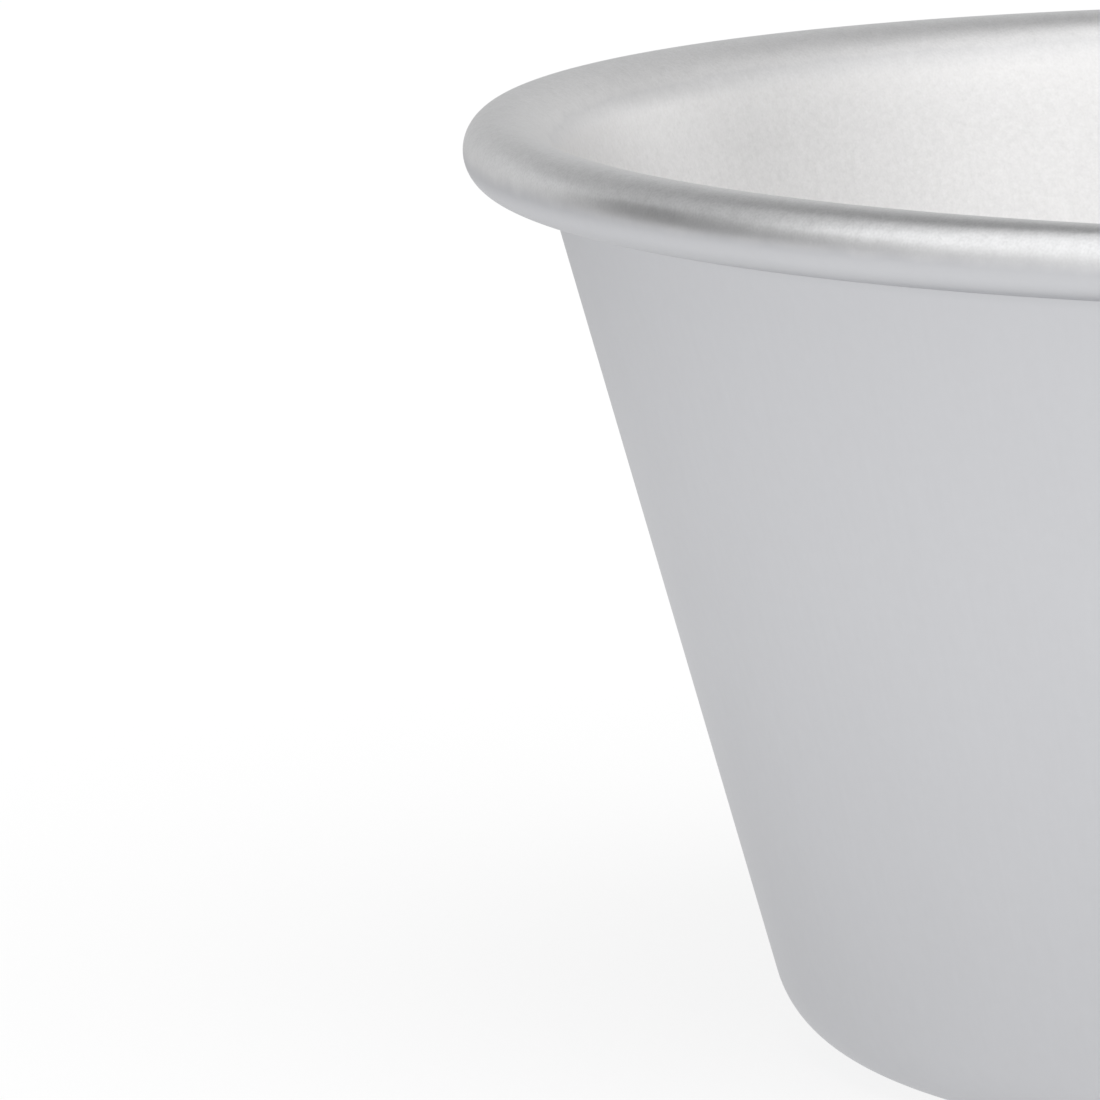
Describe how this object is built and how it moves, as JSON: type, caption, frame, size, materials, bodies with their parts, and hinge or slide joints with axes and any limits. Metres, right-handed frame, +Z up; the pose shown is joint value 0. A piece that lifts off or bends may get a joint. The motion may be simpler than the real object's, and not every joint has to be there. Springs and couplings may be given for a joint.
{
  "type": "pudding basin",
  "caption": "Small tapered aluminium pudding basin with a flat base, rounded foot and rolled rim, for steaming or baking one pudding.",
  "frame": {"origin": "centre of the flat base, on the table", "axes": "+Z up along the basin's axis, out of its mouth"},
  "size_m": [0.093, 0.093, 0.045],
  "materials": {
    "aluminium": "satin, plain pressed aluminium with a fine grain inside and faint draw lines on the wall"
  },
  "bodies": {
    "root": {"basin": "aluminium"}
  },
  "joints": []
}
